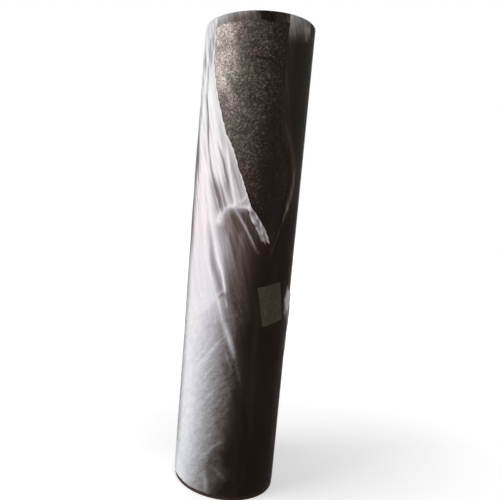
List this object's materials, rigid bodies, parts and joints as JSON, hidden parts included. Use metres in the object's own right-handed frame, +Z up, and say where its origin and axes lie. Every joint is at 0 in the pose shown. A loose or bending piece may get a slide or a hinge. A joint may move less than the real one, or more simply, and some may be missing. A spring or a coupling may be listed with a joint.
{
  "type": "roll of roofing felt",
  "caption": "Mineral-faced roofing felt wound into a roll one metre wide, standing on its end in a torn sleeve of clear plastic film, with a bare paper label under the film.",
  "frame": {"origin": "centre of the bore at the roll's bottom end, on the floor", "axes": "+Z up along the roll's axis, -Y the front, where the film is torn open, +X to the right of a person who faces it"},
  "size_m": [0.2286, 0.2263, 1.0008],
  "materials": {
    "felt": "matte bitumen faced with fine mineral granules",
    "label_paper": "bare brown paper, soaked dark by the bitumen",
    "film": "clear polythene film, glossy and creased"
  },
  "bodies": {
    "root": {"felt_roll": "felt", "label": "label_paper", "film_sleeve": "film"}
  },
  "joints": []
}
